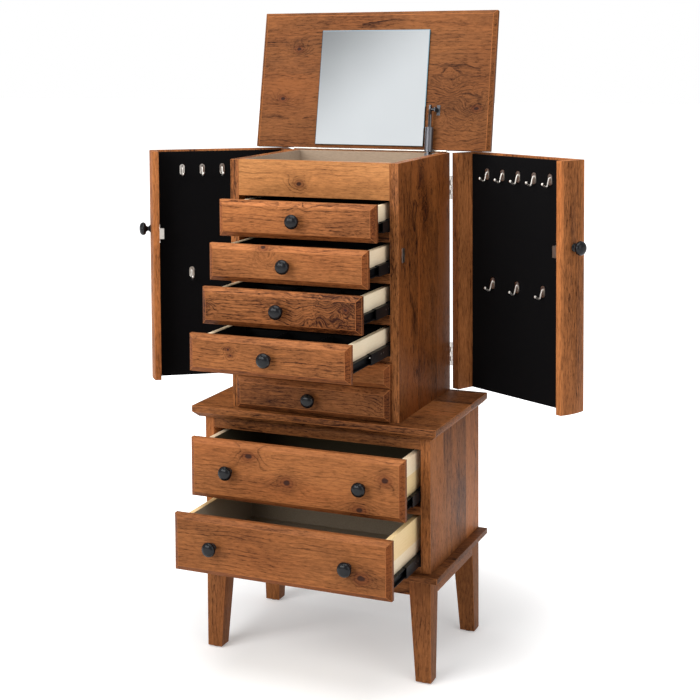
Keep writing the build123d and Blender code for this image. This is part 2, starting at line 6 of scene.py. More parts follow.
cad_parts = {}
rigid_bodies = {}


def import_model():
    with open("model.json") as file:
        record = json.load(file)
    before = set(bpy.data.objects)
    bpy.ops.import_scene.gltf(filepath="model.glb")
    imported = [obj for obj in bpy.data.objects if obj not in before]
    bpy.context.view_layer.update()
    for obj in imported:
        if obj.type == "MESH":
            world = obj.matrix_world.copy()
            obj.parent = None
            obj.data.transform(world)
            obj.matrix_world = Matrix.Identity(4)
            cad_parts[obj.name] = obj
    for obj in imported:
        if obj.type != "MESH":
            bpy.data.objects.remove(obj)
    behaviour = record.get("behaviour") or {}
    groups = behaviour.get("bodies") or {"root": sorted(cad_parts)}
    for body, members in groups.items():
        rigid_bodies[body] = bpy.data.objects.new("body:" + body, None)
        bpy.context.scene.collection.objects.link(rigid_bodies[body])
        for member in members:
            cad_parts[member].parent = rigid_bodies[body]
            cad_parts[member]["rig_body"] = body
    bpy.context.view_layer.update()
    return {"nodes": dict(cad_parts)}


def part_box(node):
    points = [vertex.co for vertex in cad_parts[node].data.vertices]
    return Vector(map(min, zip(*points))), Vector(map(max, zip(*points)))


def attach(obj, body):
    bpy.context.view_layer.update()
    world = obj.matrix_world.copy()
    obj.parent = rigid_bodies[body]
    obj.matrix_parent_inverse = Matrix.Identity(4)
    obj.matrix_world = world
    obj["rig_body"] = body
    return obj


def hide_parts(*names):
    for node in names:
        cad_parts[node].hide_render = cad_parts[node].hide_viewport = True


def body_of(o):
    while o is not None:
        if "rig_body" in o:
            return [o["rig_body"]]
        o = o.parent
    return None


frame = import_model()
nodes = frame["nodes"]

# ---------------------------------------------------------------- glides
# Four round glides of black moulded plastic, nailed under the feet.  Their faint speckle is the
# same kind of finish that the metal and the fabrics get, at other sizes.


def sums(tree, op, a, b=None, c=None, clamp=False):
    """A Math node whose inputs are numbers or sockets."""
    n = tree.nodes.new("ShaderNodeMath")
    n.operation, n.use_clamp = op, clamp
    fill(tree, n, dict(enumerate((a, b, c))))
    return n.outputs[0]


def fill(tree, node, values):
    """Set or link each named or numbered input of a node."""
    for key, value in values.items():
        if value is None:
            continue
        if isinstance(value, bpy.types.NodeSocket):
            tree.links.new(value, node.inputs[key])
        elif isinstance(value, tuple) and node.inputs[key].type == "RGBA":
            node.inputs[key].default_value = (*value[:3], 1.0)
        else:
            node.inputs[key].default_value = value


def vectors(tree, op, a, b=None, scale=None):
    n = tree.nodes.new("ShaderNodeVectorMath")
    n.operation = op
    fill(tree, n, {0: a, 1: b, "Scale": scale})
    return n.outputs["Value"] if op in ("LENGTH", "DOT_PRODUCT") else n.outputs[0]


def noise(tree, vector, scale, detail=2.0, rough=0.5, out="Fac"):
    n = tree.nodes.new("ShaderNodeTexNoise")
    fill(tree, n, {"Vector": vector, "Scale": scale, "Detail": detail, "Roughness": rough})
    return n.outputs[out]


def blend_colours(tree, factor, a, b, mode="MIX"):
    n = tree.nodes.new("ShaderNodeMix")
    n.data_type, n.blend_type = "RGBA", mode
    fill(tree, n, {0: factor, 6: a, 7: b})
    return n.outputs[2]


def smooth_range(tree, value, low, high, to_low=0.0, to_high=1.0):
    n = tree.nodes.new("ShaderNodeMapRange")
    n.interpolation_type = "SMOOTHSTEP"
    fill(tree, n, {"Value": value, "From Min": low, "From Max": high, "To Min": to_low, "To Max": to_high})
    return n.outputs["Result"]


def new_material(name):
    m = bpy.data.materials.new(name)
    m.use_nodes = True
    return m, m.node_tree, m.node_tree.nodes["Principled BSDF"]


def object_place(tree):
    return tree.nodes.new("ShaderNodeTexCoord").outputs["Object"]


def bumped(tree, skin, height, strength, distance):
    bump = tree.nodes.new("ShaderNodeBump")
    fill(tree, bump, {"Height": height, "Strength": strength, "Distance": distance})
    tree.links.new(bump.outputs[0], skin.inputs["Normal"])


def speckled(name, colour, rough, metallic=0.0, grain=400.0, depth=0.15, specular=0.5, sheen=0.0,
             stretch=(1.0, 1.0, 1.0)):
    """One colour with a fine speckle in its shade, gloss and height."""
    m, tree, skin = new_material(name)
    here = object_place(tree)
    fine = noise(tree, vectors(tree, "MULTIPLY", here, stretch), grain, 3.0, 0.6)
    cloud = noise(tree, here, 9.0, 2.0, 0.5)
    shade = sums(tree, "MULTIPLY_ADD", cloud, 0.35, sums(tree, "MULTIPLY", fine, 0.65))
    colours = [tuple(min(1.0, c * k) for c in colour) for k in (0.62, 1.38)]
    tree.links.new(blend_colours(tree, shade, *colours), skin.inputs["Base Color"])
    tree.links.new(sums(tree, "MULTIPLY_ADD", shade, 0.16, rough - 0.08), skin.inputs["Roughness"])
    bumped(tree, skin, fine, depth, 0.0004)
    skin.inputs["Metallic"].default_value = metallic
    skin.inputs["Specular IOR Level"].default_value = specular
    skin.inputs["Sheen Weight"].default_value = sheen
    return m


def finish(node, material):
    nodes[node].data.materials.clear()
    nodes[node].data.materials.append(material)


finish("glides", speckled("glide_plastic", (0.03, 0.03, 0.03), 0.6))

# ---------------------------------------------------------------- legs, aprons and the plate over them
# Solid walnut, planed and sprayed with a dull lacquer.  The legs taper on their two inner faces
# below the aprons, and every long edge is eased with sandpaper and given a paler walnut, which
# stands partly for the sanded wear and partly for a painted highlight along the edge.
WALNUT_DARK, WALNUT_LIGHT = (0.034, 0.0080, 0.0024), (0.495, 0.180, 0.057)
AXIS_X, AXIS_Y, AXIS_Z = Vector((1, 0, 0)), Vector((0, 1, 0)), Vector((0, 0, 1))
FAR = (9.0, 9.0, 9.0)
KNOTS = ("Knot A", "Knot B", "Knot C", "Knot D")


def new_group(name, inputs, outputs):
    g = bpy.data.node_groups.new(name, "ShaderNodeTree")
    for key, value in inputs.items():
        kind = "Float" if isinstance(value, float) else "Color" if len(value) == 4 else "Vector"
        socket = g.interface.new_socket(name=key, in_out="INPUT", socket_type=f"NodeSocket{kind}")
        socket.default_value = value
    for key, kind in outputs.items():
        g.interface.new_socket(name=key, in_out="OUTPUT", socket_type=f"NodeSocket{kind}")
    return g, g.nodes.new("NodeGroupInput").outputs, g.nodes.new("NodeGroupOutput").inputs


def centred_noise(tree, vector, scale, detail, rough, size):
    """A noise vector that swings about zero, times a size."""
    colour = noise(tree, vector, scale, detail, rough, "Color")
    return vectors(tree, "SCALE", vectors(tree, "SUBTRACT", colour, (0.5, 0.5, 0.5)), scale=size)


def make_wood_figure():
    """Wood in metres, grain along X, depth Y, width Z: staves, rings, knots, burl, fibres and pores."""
    g, i, o = new_group("wood_figure", {
        "Vector": (0.0, 0.0, 0.0), "Seed": 0.0, "Pith": (0.0, 0.0, 0.06), "Ring": 0.008, "Wander": 0.05,
        "Stave": 10.0, "Stave Start": 0.5, "Burl": FAR, "Burl Reach": 0.05, "Knot Size": 0.006,
        **{k: FAR for k in KNOTS}, "Dark": (0.0, 0.0, 0.0, 1.0), "Light": (1.0, 1.0, 1.0,
                                                                           1.0), "Contrast": 1.0},
        {"Color": "Color", "Roughness": "Float", "Height": "Float"})
    # each glued stave comes from another tree
    parts = g.nodes.new("ShaderNodeSeparateXYZ")
    g.links.new(i["Vector"], parts.inputs[0])
    across = sums(g, "ADD", sums(g, "DIVIDE", parts.outputs["Z"], i["Stave"]), i["Stave Start"])
    index = sums(g, "FLOOR", across)
    middle_z = sums(g, "SUBTRACT", sums(g, "ADD", index, 0.5), i["Stave Start"])
    middle_z = sums(g, "MULTIPLY", middle_z, i["Stave"])
    own = g.nodes.new("ShaderNodeCombineXYZ")
    fill(g, own, {"X": parts.outputs["X"], "Y": parts.outputs["Y"],
                  "Z": sums(g, "SUBTRACT", parts.outputs["Z"], middle_z)})
    chance = g.nodes.new("ShaderNodeTexWhiteNoise")
    chance.noise_dimensions = "1D"
    fill(g, chance, {"W": sums(g, "MULTIPLY_ADD", index, 3.7, i["Seed"])})
    lot = chance.outputs["Color"]
    seed = vectors(g, "SCALE", (1.7, 3.1, 0.9), scale=i["Seed"])
    v = vectors(g, "ADD", own.outputs[0], vectors(g, "ADD", seed, vectors(g, "SCALE", lot, scale=6.0)))
    # burl: the fibres are dragged round
    spread = vectors(g, "MULTIPLY", vectors(g, "SUBTRACT", i["Vector"], i["Burl"]), (0.75, 0.0, 1.0))
    burl = smooth_range(g, vectors(g, "LENGTH", spread), 0.0, i["Burl Reach"], 1.0, 0.0)
    drag = centred_noise(g, v, 15.0, 1.5, 0.5, sums(g, "MULTIPLY_ADD", burl, 0.070, 0.008))
    v = vectors(g, "ADD", v, drag)
    # knots: branches sawn across, run through the board's thickness
    wobble = centred_noise(g, v, 60.0, 2.0, 0.5, 0.006)
    near = None
    for k in KNOTS:
        away = vectors(g, "SUBTRACT", vectors(g, "ADD", i["Vector"], wobble), i[k])
        away = vectors(g, "LENGTH", vectors(g, "MULTIPLY", away, (0.68, 0.0, 1.0)))
        near = away if near is None else sums(g, "MINIMUM", near, away)
    near = sums(g, "DIVIDE", near, i["Knot Size"])
    around = smooth_range(g, near, 0.0, 6.5, 1.0, 0.0)
    heart = smooth_range(g, near, 0.55, 1.05, 1.0, 0.0)
    halo = smooth_range(g, near, 0.9, 2.8, 1.0, 0.0)
    turn = sums(g, "FRACT", sums(g, "MULTIPLY", near, 1.15))
    turn = sums(g, "MULTIPLY", smooth_range(g, turn, 0.4, 0.9), smooth_range(g, turn, 0.9, 1.0, 1.0, 0.0))
    turn = sums(g, "MULTIPLY", turn, smooth_range(g, near, 1.0, 4.2, 1.0, 0.0))
    # growth rings
    slow = centred_noise(g, vectors(g, "MULTIPLY", v, (1.0, 0.25, 0.25)), 3.6, 2.0, 0.5, i["Wander"])
    ripple = centred_noise(g, vectors(g, "MULTIPLY", v, (0.45, 1.0, 1.0)), 55.0, 3.0, 0.6, 0.006)
    bend = vectors(g, "ADD", drag, vectors(g, "ADD", slow, ripple))
    q = vectors(g, "ADD", vectors(g, "SUBTRACT", own.outputs[0], i["Pith"]), bend)
    q = vectors(g, "ADD", q, vectors(g, "MULTIPLY", lot, (0.0, 0.03, 0.02)))
    r = vectors(g, "LENGTH", vectors(g, "MULTIPLY", q, (0.035, 1.0, 1.0)))
    phase = sums(g, "ADD", sums(g, "DIVIDE", r, i["Ring"]), sums(g, "MULTIPLY", around, 3.2))
    f = sums(g, "FRACT", phase)
    late = sums(g, "MULTIPLY", smooth_range(g, f, 0.58, 0.92), smooth_range(g, f, 0.93, 1.0, 1.0, 0.0))
    tone = g.nodes.new("ShaderNodeTexWhiteNoise")
    tone.noise_dimensions = "1D"
    fill(g, tone, {"W": sums(g, "FLOOR", phase)})
    late = sums(g, "MULTIPLY", late, sums(g, "MULTIPLY_ADD", tone.outputs["Value"], 0.85, 0.15))
    patchy = noise(g, vectors(g, "MULTIPLY", v, (0.35, 1.0, 1.0)), 26.0, 3.0, 0.6)
    late = sums(g, "MULTIPLY", late, smooth_range(g, patchy, 0.36, 0.62, 0.30, 1.0))
    # finger-wide streaks, broad clouds, fibres and open pores
    streak = noise(g, vectors(g, "MULTIPLY", v, (0.14, 1.0, 1.0)), 30.0, 5.0, 0.62)
    cloud = noise(g, vectors(g, "MULTIPLY", v, (0.5, 1.0, 1.0)), 8.0, 3.0, 0.55)
    line = noise(g, vectors(g, "MULTIPLY", v, (0.08, 1.0, 1.0)), 200.0, 4.0, 0.7)
    fibre = noise(g, vectors(g, "MULTIPLY", v, (0.14, 1.0, 1.0)), 340.0, 3.0, 0.7)
    pore = smooth_range(g, noise(g, vectors(g, "MULTIPLY", v, (0.24, 1.0, 1.0)), 330.0, 2.0, 0.6), 0.55, 0.63)
    value = sums(g, "MULTIPLY_ADD", sums(g, "SUBTRACT", chance.outputs["Value"], 0.5), 0.30, 0.62)
    for layer, weight in ((streak, 0.62), (cloud, 0.95), (line, 0.36), (fibre, 1.20)):
        value = sums(g, "MULTIPLY_ADD", sums(g, "SUBTRACT", layer, 0.5), weight, value)
    ring_weight = sums(g, "MULTIPLY_ADD", sums(g, "MAXIMUM", burl, around), -0.10, -0.42)
    value = sums(g, "MULTIPLY_ADD", late, ring_weight, value)
    value = sums(g, "MULTIPLY_ADD", turn, -0.22, sums(g, "MULTIPLY_ADD", pore, -0.17, value))
    value = sums(g, "MULTIPLY_ADD", sums(g, "SUBTRACT", value, 0.52), i["Contrast"], 0.52)
    value = sums(g, "MULTIPLY_ADD", burl, -0.10, sums(g, "MULTIPLY_ADD", around, -0.20, value), clamp=True)
    colour = blend_colours(g, value, i["Dark"], i["Light"])
    warmth = noise(g, vectors(g, "MULTIPLY", v, (0.3, 1.0, 1.0)), 11.0, 1.0, 0.5)
    warmth = smooth_range(g, warmth, 0.4, 0.75, 0.0, 0.5)
    colour = blend_colours(g, warmth, colour, (1.0, 0.86, 0.76), "MULTIPLY")
    colour = blend_colours(g, sums(g, "MULTIPLY", halo, 0.5), colour, (0.13, 0.034, 0.012))
    colour = blend_colours(g, sums(g, "MULTIPLY", heart, 0.88), colour, (0.020, 0.009, 0.007))
    g.links.new(colour, o["Color"])
    rough = sums(g, "MULTIPLY_ADD", pore, 0.12, sums(g, "MULTIPLY_ADD", streak, 0.10, 0.47))
    g.links.new(rough, o["Roughness"])
    height = sums(g, "MULTIPLY_ADD", pore, -0.8, sums(g, "MULTIPLY", fibre, 0.25))
    g.links.new(sums(g, "MULTIPLY_ADD", heart, -1.0, height), o["Height"])
    return g


wood_figure = make_wood_figure()


def place_figure(tree, vector, seed, dark, light, contrast, more):
    figure = tree.nodes.new("ShaderNodeGroup")
    figure.node_tree = wood_figure
    fill(tree, figure, {"Vector": vector, "Seed": seed, "Dark": dark, "Light": light, "Contrast": contrast,
                        **more})
    return figure.outputs


def walnut(name, grain, face, seed, centre, shade=1.0, contrast=1.05, knots=(), gloss=0.08, painted_light_by_facing=(),
           tint=(1.0, 1.0, 1.0), **more):
    """A lacquered walnut board: grain and face are directions on it, and its pattern starts at centre.

    Each facing tint lightens or darkens the faces that turn towards a direction: painted light and shade.
    """
    m, tree, skin = new_material(f"walnut_{name}")
    mapping = tree.nodes.new("ShaderNodeMapping")
    turn = Matrix((grain, face, grain.cross(face))).to_euler()
    here = vectors(tree, "SUBTRACT", object_place(tree), tuple(centre))
    fill(tree, mapping, {"Vector": here, "Rotation": tuple(turn)})
    more.update(zip(KNOTS, knots))
    dark, light = (tuple(c * shade * t for c, t in zip(colour, tint))
                   for colour in (WALNUT_DARK, WALNUT_LIGHT))
    out = place_figure(tree, mapping.outputs[0], seed, dark, light, contrast,
                       {k.replace("_", " ").title(): v for k, v in more.items()})
    colour = out["Color"]
    # painted light and shade: faces turned towards a direction are multiplied by a tint
    for direction, low, high, other in painted_light_by_facing:
        normal = tree.nodes.new("ShaderNodeTexCoord").outputs["Normal"]
        band = smooth_range(tree, vectors(tree, "DOT_PRODUCT", normal, direction), low, high)
        colour = blend_colours(tree, band, colour, blend_colours(tree, 1.0, colour, other, "MULTIPLY"))
    fill(tree, skin, {"Base Color": colour, "Roughness": out["Roughness"], "Specular IOR Level": gloss})
    bumped(tree, skin, out["Height"], 0.18, 0.0006)
    return m


def middle(node):
    low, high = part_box(node)
    return tuple((a + b) / 2 for a, b in zip(low, high))


# the eased edges' paler walnut: partly sanded wear, partly a painted highlight
edge_wear_and_highlight = walnut("edge_wear_and_highlight", AXIS_X, AXIS_Y, 5.0, (0, 0, 0), 1.05, 0.5)


def remade(node, materials, ease=0.0):
    """The node again as whole faces, its edges rounded by ease, or only its round parts shaded smooth."""
    mesh = nodes[node].data.copy()
    bm = bmesh.new()
    bm.from_mesh(mesh)
    bmesh.ops.remove_doubles(bm, verts=bm.verts, dist=2e-5)
    bmesh.ops.dissolve_limit(bm, angle_limit=radians(0.6), verts=bm.verts, edges=bm.edges)
    bm.to_mesh(mesh)
    bm.free()
    mesh.materials.clear()
    for material in materials:
        mesh.materials.append(material)
    mesh.shade_smooth()
    obj = bpy.data.objects.new(f"{node}_finished", mesh)
    bpy.context.collection.objects.link(obj)
    if ease:
        rounding = obj.modifiers.new("eased_edges", "BEVEL")
        rounding.width, rounding.segments = ease, 2
        rounding.limit_method, rounding.angle_limit = "ANGLE", radians(25)
        rounding.harden_normals, rounding.material = True, len(materials) - 1
    else:
        mesh.set_sharp_from_angle(angle=radians(32))
    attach(obj, body_of(nodes[node])[0])
    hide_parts(node)
    return obj


BOARD_EASE = 0.0008
for node, grain, face, seed, shade in (("legs", AXIS_Z, -AXIS_Y, 3.1, 0.56),
                                       ("aprons", AXIS_X, AXIS_Y, 5.2, 0.62),
                                       ("base_plate", AXIS_X, AXIS_Z, 7.7, 0.64)):
    remade(node, (walnut(node, grain, face, seed, middle(node), shade), edge_wear_and_highlight), BOARD_EASE)

# ---------------------------------------------------------------- base chest
# The sides are three walnut staves each, glued edge to edge with the grain upright, and the rails
# run across.  The board on top overhangs the front and the ends and is bevelled underneath.
remade("base_sides", (walnut("base_sides", AXIS_Z, AXIS_X, 11.3, (0.0, 0.0, 0.39), 0.88, stave=0.161,
                             stave_start=0.531, wander=0.03), edge_wear_and_highlight), BOARD_EASE)
remade("base_frame", (walnut("base_frame", AXIS_X, AXIS_Y, 13.9, middle("base_frame"), 0.56, 1.4),
                      edge_wear_and_highlight), BOARD_EASE)
remade("base_top", (walnut("base_top", AXIS_X, AXIS_Z, 17.2, middle("base_top"), 0.66, 1.5, stave=0.124),
                    edge_wear_and_highlight), BOARD_EASE)

# ---------------------------------------------------------------- upper cabinet
# Solid walnut sides with upright staves, a fixed front over the drawers that hides the lidded
# compartment, rails between the openings, and plain back panels let in behind.
# faces of the sides turned to +X are tinted darker: painted shade
remade("cabinet_sides", (walnut("cabinet_sides", AXIS_Z, AXIS_X, 19.4, (0.0, 0.0, 0.845), 0.72, 1.8,
                                stave=0.13,
                                painted_light_by_facing=(((1, 0, 0), 0.6, 0.8, (0.68, 0.58, 0.44)),),
                                stave_start=0.4, wander=0.03, burl=(0.19, 0.0, -0.005), burl_reach=0.11,
                                knots=((0.234, 0.0, -0.035), (0.16, 0.0, 0.002), (-0.19, 0.0, -0.06)),
                                knot_size=0.0045), edge_wear_and_highlight), BOARD_EASE)
remade("back_panels", (walnut("back_panels", AXIS_Z, AXIS_Y, 23.8, middle("back_panels"), 0.8, stave=0.1),))
remade("cabinet_rails", (walnut("cabinet_rails", AXIS_X, AXIS_Y, 27.1, middle("cabinet_rails"), 0.6, 1.4),
                         edge_wear_and_highlight), BOARD_EASE)
remade("false_front", (walnut("false_front", AXIS_X, AXIS_Y, 31.6, middle("false_front"), 1.30, 0.8,
                              tint=(0.96, 1.14, 1.22), wander=0.02, pith=(0.0, 0.05, -0.012),
                              knots=((-0.032, 0.0, -0.0107),), knot_size=0.0048), edge_wear_and_highlight), 0.0007)

# ---------------------------------------------------------------- lidded compartment
# Boards wrapped in a short-napped fabric line the compartment under the lid.
finish("tray_lining", speckled("compartment_fabric", (0.335, 0.255, 0.185), 0.95, grain=240.0, depth=0.6,
                               specular=0.1, sheen=0.1, stretch=(0.4, 0.4, 1.6)))

# ---------------------------------------------------------------- drawers
# Walnut fronts bevelled on all four edges, fixed to boxes of pale poplar.  The small drawers are
# lined in black velvet and divided; the two wide ones have plain linings, pale brown in the lower
# one, and in the upper one the same lining darkened nearly to black as painted shade inside the drawer.
BOX_BOARD, BOX_DECK, LINING_DROP = 0.011, 0.0065, 0.0012
CREAM, HONEY = (1.0, 0.87, 0.66), (0.96, 0.75, 0.42)
VELVET_BLACK = (0.006, 0.0055, 0.006)


def poplar(name, node, seed, upper, lower, joint, inside):
    """Box boards in two glued tones that meet at the height of joint, with the inside lined."""
    m, tree, skin = new_material(f"poplar_{name}")
    low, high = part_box(node)
    place = object_place(tree)
    at = tree.nodes.new("ShaderNodeSeparateXYZ")
    tree.links.new(place, at.inputs[0])
    facing = tree.nodes.new("ShaderNodeSeparateXYZ")
    tree.links.new(tree.nodes.new("ShaderNodeTexCoord").outputs["Normal"], facing.inputs[0])
    crosswise = sums(tree, "GREATER_THAN", sums(tree, "ABSOLUTE", facing.outputs["Y"]), 0.7)
    along = tree.nodes.new("ShaderNodeCombineXYZ")
    fill(tree, along, {"X": at.outputs["Y"], "Y": at.outputs["X"], "Z": at.outputs["Z"]})
    turned = tree.nodes.new("ShaderNodeMix")
    turned.data_type = "VECTOR"
    fill(tree, turned, {0: crosswise, 4: along.outputs[0], 5: place})
    out = place_figure(tree, turned.outputs[1], seed, (0.86, 0.80, 0.70), (1.0, 1.0, 1.0), 0.6,
                       {"Ring": 0.005, "Wander": 0.03})
    step = smooth_range(tree, at.outputs["Z"], joint - 0.0004, joint + 0.0004)
    board = blend_colours(tree, 1.0, out["Color"], blend_colours(tree, step, lower, upper), "MULTIPLY")
    half, rim = (high[0] - low[0]) / 2 - BOX_BOARD / 2, BOX_BOARD / 2
    lined = sums(tree, "LESS_THAN", sums(tree, "ABSOLUTE", at.outputs["X"]), half)
    for axis, least, most in (("Y", low[1] + rim, high[1] - rim),
                              ("Z", low[2] + BOX_DECK, high[2] - LINING_DROP)):
        lined = sums(tree, "MULTIPLY", lined, sums(tree, "GREATER_THAN", at.outputs[axis], least))
        lined = sums(tree, "MULTIPLY", lined, sums(tree, "LESS_THAN", at.outputs[axis], most))
    nap = noise(tree, place, 700.0, 3.0, 0.6)
    lining_and_shade = blend_colours(tree, nap, tuple(c * 0.6 for c in inside), tuple(c * 1.4 for c in inside))
    fill(tree, skin, {"Base Color": blend_colours(tree, lined, board, lining_and_shade), "Specular IOR Level": 0.25,
                      "Roughness": sums(tree, "MULTIPLY_ADD", lined, 0.45, 0.48)})
    bumped(tree, skin, out["Height"], 0.1, 0.0005)
    return m


black_knob = speckled("black_knob", (0.0035, 0.0037, 0.005), 0.20, grain=60.0, depth=0.0, specular=0.20)
black_steel = speckled("black_steel", (0.004, 0.004, 0.0045), 0.42, depth=0.05, specular=0.10)
KNOB_FLANGE, KNOB_HEIGHT = 0.0090, 0.0270
# the radius and height at the start, middle and end of the neck, the underside and the dome
KNOB_ARCS = (((KNOB_FLANGE, 0.0020), (0.0055, 0.0059), (0.0080, 0.0108)),
             ((0.0080, 0.0108), (0.01344, 0.0127), (0.0160, 0.0178)),
             ((0.0160, 0.0178), (0.01248, 0.0243), (0.0040, KNOB_HEIGHT)))
CHEST_KNOB_OFFSET = 0.156    # from the centre line


def turn_knob(obj, place, outward, clear=None):
    """Turn a round knob on the piece, standing out of place.

    The piece's own points are taken off first: all of them, or those in front of clear.
    """
    bm = bmesh.new()
    bm.from_mesh(obj.data)
    old = [v for v in bm.verts if clear is None or v.co.y < clear]
    bmesh.ops.delete(bm, geom=old, context="VERTS")
    profile = [(KNOB_FLANGE, 0.0)]
    for arc in KNOB_ARCS:
        for t in (k / 9 for k in range(10)):
            weights = (1 - t) * (1 - 2 * t), 4 * t * (1 - t), t * (2 * t - 1)
            profile.append(tuple(sum(w * p[j] for w, p in zip(weights, arc)) for j in (0, 1)))
    profile.append((0.0, KNOB_HEIGHT))
    across = outward.orthogonal().normalized()
    verts = [bm.verts.new(place + across * r + outward * h) for r, h in profile]
    edges = [bm.edges.new(pair) for pair in zip(verts, verts[1:])]
    bmesh.ops.spin(bm, geom=verts + edges, cent=place, axis=outward, angle=2 * pi, steps=44, use_merge=True)
    bmesh.ops.remove_doubles(bm, verts=bm.verts, dist=2e-6)
    bmesh.ops.recalc_face_normals(bm, faces=bm.faces)
    for f in bm.faces:
        f.smooth = True
    bm.to_mesh(obj.data)
    bm.free()
    obj.data.set_sharp_from_angle(angle=radians(32))


# each way a front's face or bevel can turn, with the band of turn it starts in and the tint it gets: painted
# light, the upper bevels lighter and the side and lower bevels darker
BEVEL_PAINTED_LIGHT = (((0, 0, 1), 0.12, 0.30, (1.26, 1.28, 1.40)), ((1, 0, 0), 0.12, 0.30, (0.70, 0.58, 0.52)),
                ((-1, 0, 0), 0.12, 0.30, (0.80, 0.70, 0.66)), ((0, 0, -1), 0.12, 0.30, (0.72, 0.64, 0.60)))
fronts = {
    "drawer_1": dict(seed=41.2, shade=0.96, contrast=1.05, burl=(-0.005, 0.0, 0.045), burl_reach=0.05),
    "drawer_2": dict(seed=44.3, shade=0.76, contrast=1.05, knots=((-0.054, 0.0, 0.036),), knot_size=0.005,
                     burl=(-0.045, 0.0, 0.02), burl_reach=0.05),
    "drawer_3": dict(seed=47.9, shade=0.74, contrast=1.4, burl=(0.11, 0.0, -0.005), burl_reach=0.14,
                     knots=((-0.173, 0.0, 0.0016), (0.15, 0.0, 0.012)), knot_size=0.003),
    "drawer_4": dict(seed=50.6, shade=0.79, contrast=1.05, knot_size=0.0022,
                     knots=((-0.0888, 0.0, 0.014), (-0.084, 0.0, 0.0))),
    "drawer_5": dict(seed=53.2, shade=0.66),
    "drawer_6": dict(seed=56.5, shade=0.54, contrast=1.2, burl=(0.165, 0.0, 0.0), burl_reach=0.07),
    "base_drawer_1": dict(seed=59.8, shade=0.73, contrast=1.0, knot_size=0.0065, ring=0.009, wander=0.035,
                          knots=((-0.107, 0.0, 0.0385), (-0.016, 0.0, -0.0096),
                                 (0.209, 0.0, 0.0206), (0.151, 0.0, -0.049))),
    "base_drawer_2": dict(seed=62.7, shade=0.64, contrast=1.0, knot_size=0.007, ring=0.009,
                          knots=((0.186, 0.0, -0.0203),)),
}
two_tone = {"base_drawer_1": (CREAM, HONEY, 0.4645), "base_drawer_2": (HONEY, CREAM, 0.310)}
# the upper wide drawer's near-black lining is painted shade inside the drawer; the lower one's is its
# lining's colour
LINING_AND_PAINTED_SHADE = {"base_drawer_1": (0.080, 0.062, 0.034), "base_drawer_2": (0.34, 0.275, 0.20)}
DRAWER_EASE = 0.0006
for i, (name, look) in enumerate(fronts.items()):
    node = f"{name}_front"
    remade(node, (walnut(name, AXIS_X, AXIS_Y, centre=middle(node), painted_light_by_facing=BEVEL_PAINTED_LIGHT, **look), edge_wear_and_highlight),
           DRAWER_EASE)
    box = f"{name}_box"
    tones = two_tone.get(name, (CREAM, CREAM, 0.0))
    remade(box, (poplar(name, box, 71.0 + 2.3 * i, *tones, LINING_AND_PAINTED_SHADE.get(name, VELVET_BLACK)),), DRAWER_EASE)
    fittings = remade(f"{name}_knob_and_runners", (black_knob, black_steel))
    low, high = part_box(node)
    for polygon in fittings.data.polygons:
        polygon.material_index = 1
    clear = low[1] + 0.0001
    for x in (-CHEST_KNOB_OFFSET, CHEST_KNOB_OFFSET) if name in two_tone else (0.0,):
        turn_knob(fittings, Vector((x, low[1], (low[2] + high[2]) / 2)), -AXIS_Y, clear)
        clear = -9.0    # nothing more to take off
    finish(f"{name}_slide_middles", black_steel)
finish("slide_case_members", black_steel)

# ---------------------------------------------------------------- lid
# A walnut board of three staves, bevelled round its edges, on a long piano hinge.  A silvered
# mirror with ground edges is glued to its underside, and a bracket with a stud takes the lid stay.
LID_OPEN = radians(101.1)
lid_face = Vector((0.0, -sin(LID_OPEN), -cos(LID_OPEN)))
remade("lid_board", (walnut("lid", AXIS_X, lid_face, 91.4, middle("lid_board"), 0.48, 1.15, stave=0.112,
                            stave_start=0.126, wander=0.05, burl=(0.225, 0.0, 0.055), burl_reach=0.13,
                            knots=((-0.234, 0.0, 0.048), (-0.20, 0.0, -0.075), (0.262, 0.0, 0.068)),
                            knot_size=0.0045), edge_wear_and_highlight), BOARD_EASE)
silver, tree, skin = new_material("silvered_glass")
tilt = vectors(tree, "DOT_PRODUCT", tree.nodes.new("ShaderNodeTexCoord").outputs["Normal"], tuple(lid_face))
ground = sums(tree, "LESS_THAN", tilt, 0.995)
fill(tree, skin, {"Base Color": blend_colours(tree, ground, (0.86, 0.88, 0.885), (0.10, 0.16, 0.19)),
                  "Metallic": 1.0})
haze = smooth_range(tree, noise(tree, object_place(tree), 14.0), 0.3, 0.7, 0.012, 0.03)
tree.links.new(haze, skin.inputs["Roughness"])
finish("lid_mirror", silver)
NICKEL_COLOUR = (0.62, 0.59, 0.55)
nickel = speckled("brushed_nickel", NICKEL_COLOUR, 0.30, metallic=1.0, grain=900.0, depth=0.08,
                  stretch=(1.0, 1.0, 0.1))
gunmetal = speckled("gunmetal", (0.10, 0.10, 0.11), 0.34, metallic=0.9, depth=0.05)
lid_metal, tree, skin = new_material("lid_fittings_metal")
at = tree.nodes.new("ShaderNodeSeparateXYZ")
tree.links.new(object_place(tree), at.inputs[0])
bracket = smooth_range(tree, at.outputs["Z"], 1.15, 1.16)    # the dark bracket stands above the bright hinge
fill(tree, skin, {"Base Color": blend_colours(tree, bracket, NICKEL_COLOUR, (0.07, 0.07, 0.075)),
                  "Metallic": 0.95,
                  "Roughness": sums(tree, "MULTIPLY_ADD", noise(tree, object_place(tree), 600.0), 0.14,
                                    0.26)})
remade("lid_fittings", (lid_metal,))

# ---------------------------------------------------------------- lid stay
# A steel gas stay: a foot fixed inside the compartment, a dark cylinder and a thinner rod.
for node in ("stay_foot", "stay_cylinder", "stay_rod"):
    remade(node, (gunmetal,))

